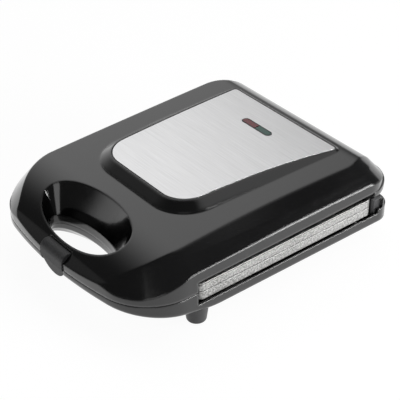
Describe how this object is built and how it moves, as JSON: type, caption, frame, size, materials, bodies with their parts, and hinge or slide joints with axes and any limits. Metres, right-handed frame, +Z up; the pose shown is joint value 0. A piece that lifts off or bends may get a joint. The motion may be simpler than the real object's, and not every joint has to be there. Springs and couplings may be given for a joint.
{
  "type": "cookie maker",
  "caption": "Electric cookie maker: hinged lid with a steel trim plate and two lamps, heated plates with round cavities, finger hole handle and front latch.",
  "frame": {"origin": "bottom centre of the closed appliance's box, at table level under its feet", "axes": "+Z up, +Y from the handle to the hinge, +X to the right seen from the handle"},
  "size_m": [0.23, 0.3168, 0.087],
  "materials": {
    "black_gloss": "glossy black moulded plastic",
    "grey_plastic": "dark grey moulded plastic",
    "latch_plastic": "fine textured dark grey plastic",
    "brushed_trim": "steel brushed across the lid",
    "cast_aluminium": "bare cast edge, coated baking face",
    "sheet_steel": "plain sheet and tube",
    "screw_steel": "zinc plated",
    "red_clear": "ribbed red lens",
    "green_clear": "ribbed green lens",
    "lamp_glass": "clear glass",
    "black_rubber": "matt black"
  },
  "bodies": {
    "base": {"lower_cover": "black_gloss", "lower_heat_shield": "sheet_steel", "lower_baking_plate": "cast_aluminium", "lower_heating_element": "sheet_steel", "lower_element_clamps": "sheet_steel", "lower_plate_screws": "screw_steel", "lower_hinge_left": "grey_plastic", "lower_hinge_right": "grey_plastic", "lower_hinge_screws": "screw_steel", "hinge_pin_left": "screw_steel", "hinge_pin_right": "screw_steel", "terminal_block": "grey_plastic", "cord_inlet": "black_rubber", "lower_wiring": "black_rubber", "foot_front_left": "grey_plastic", "foot_front_right": "grey_plastic", "foot_rear_left": "grey_plastic", "foot_rear_right": "grey_plastic"},
    "lid": {"upper_cover": "black_gloss", "steel_plate": "brushed_trim", "lamp_bezel": "grey_plastic", "red_lens": "red_clear", "green_lens": "green_clear", "lamp_holder": "grey_plastic", "red_lamp": "lamp_glass", "green_lamp": "lamp_glass", "upper_heat_shield": "sheet_steel", "upper_baking_plate": "cast_aluminium", "upper_heating_element": "sheet_steel", "upper_element_clamps": "sheet_steel", "upper_plate_screws": "screw_steel", "upper_hinge_left": "grey_plastic", "upper_hinge_right": "grey_plastic", "upper_hinge_screws": "screw_steel", "thermostat": "screw_steel", "thermal_fuse": "lamp_glass", "upper_wiring": "black_rubber", "latch_pin": "screw_steel", "latch_spring": "screw_steel"},
    "latch_clip": {"latch": "latch_plastic"}
  },
  "joints": [
    {"name": "lid_hinge", "type": "hinge", "parent": "base", "child": "lid", "pos_m": [0, 0.1504, 0.0395], "axis": [-1, 0, 0], "range_deg": [0, 100]},
    {"name": "latch_pivot", "type": "hinge", "parent": "lid", "child": "latch_clip", "pos_m": [0, -0.1508, 0.0444], "axis": [-1, 0, 0], "range_deg": [0, 35], "stiffness_Nm_per_rad": 0.02}
  ]
}
